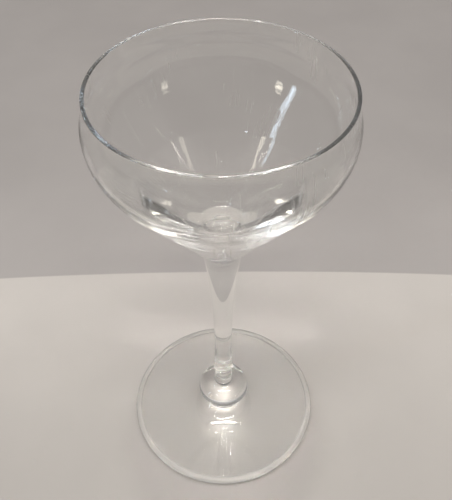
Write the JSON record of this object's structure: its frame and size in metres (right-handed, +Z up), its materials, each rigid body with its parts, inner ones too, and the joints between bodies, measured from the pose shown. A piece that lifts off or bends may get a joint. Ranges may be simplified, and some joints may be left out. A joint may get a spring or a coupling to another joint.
{
  "type": "cocktail coupe glass",
  "caption": "Stemmed cocktail glass with a deep V-flanked bowl, a drawn stem, a round knop and a flat round foot.",
  "frame": {"origin": "on the surface that the glass stands on, under the middle of the foot", "axes": "+Z up along the axis of the glass, from the foot to the rim; +X and +Y are alike, because every piece is round"},
  "size_m": [0.0762, 0.0762, 0.16],
  "materials": {
    "foot_glass": "clear pressed glass with a fire-polished edge and fine wear on its resting ring",
    "knop_glass": "clear solid glass, fire polished",
    "stem_glass": "clear drawn glass, fire polished",
    "bowl_glass": "clear thin blown glass with a rounded, fire-polished rim and faint scratches from use"
  },
  "bodies": {
    "root": {"foot": "foot_glass", "knop": "knop_glass", "stem": "stem_glass", "bowl": "bowl_glass"}
  },
  "joints": []
}
